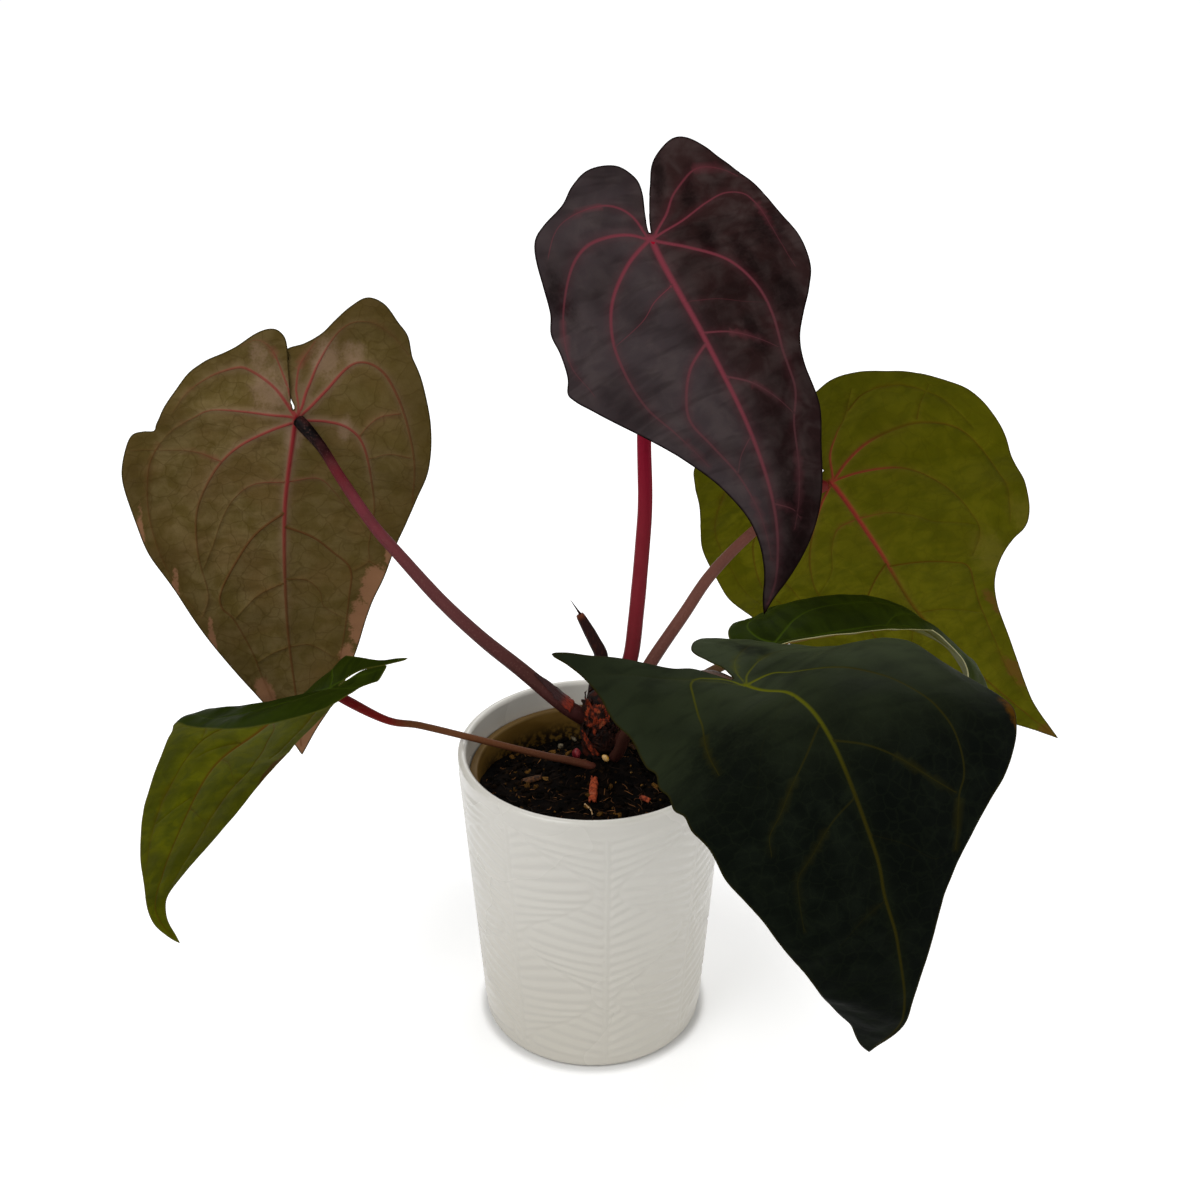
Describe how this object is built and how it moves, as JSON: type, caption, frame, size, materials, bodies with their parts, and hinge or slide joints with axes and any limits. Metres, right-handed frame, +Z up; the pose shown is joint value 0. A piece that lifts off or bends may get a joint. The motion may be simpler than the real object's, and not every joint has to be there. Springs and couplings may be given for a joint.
{
  "type": "potted anthurium",
  "caption": "Velvet-leaved anthurium with large heart-shaped drooping blades on long stalks, in a nursery pot of potting mix inside an embossed white cachepot.",
  "frame": {"origin": "centre of the cachepot's flat base, on the surface that it stands on", "axes": "+Z up; -Y is the front, which the big front blade and the camera side face; +X is to the right seen from the front"},
  "size_m": [0.54, 0.3547, 0.4702],
  "materials": {
    "glaze": "gloss",
    "nursery_plastic": "satin",
    "potting_mix": "matte",
    "stem": "matte",
    "old_leaf": "satin",
    "young_leaf": "satin",
    "petiole": "satin",
    "sheath": "matte",
    "bark": "matte",
    "perlite": "matte",
    "straw": "matte",
    "bead": "satin"
  },
  "bodies": {
    "root": {"bark_chip_back": "bark", "bark_chip_left": "bark", "bark_chip_right": "bark", "bark_chip_small": "bark", "bark_chip_upright": "bark", "cachepot": "glaze", "cataphyll_band": "sheath", "cataphyll_scrap": "sheath", "cataphyll_sheath": "sheath", "cataphyll_strip": "sheath", "fertiliser_bead": "bead", "leaf_front": "old_leaf", "leaf_left_back": "young_leaf", "leaf_low_left": "old_leaf", "leaf_right": "old_leaf", "leaf_right_back": "old_leaf", "leaf_top": "young_leaf", "new_leaf_spike": "petiole", "nursery_pot": "nursery_plastic", "perlite_back": "perlite", "perlite_left": "perlite", "perlite_right": "perlite", "petiole_front": "petiole", "petiole_left_back": "petiole", "petiole_low_left": "petiole", "petiole_right": "petiole", "petiole_right_back": "petiole", "petiole_top": "petiole", "potting_mix": "potting_mix", "side_bud": "petiole", "stem_and_roots": "stem", "straw_fibre": "straw"}
  },
  "joints": []
}
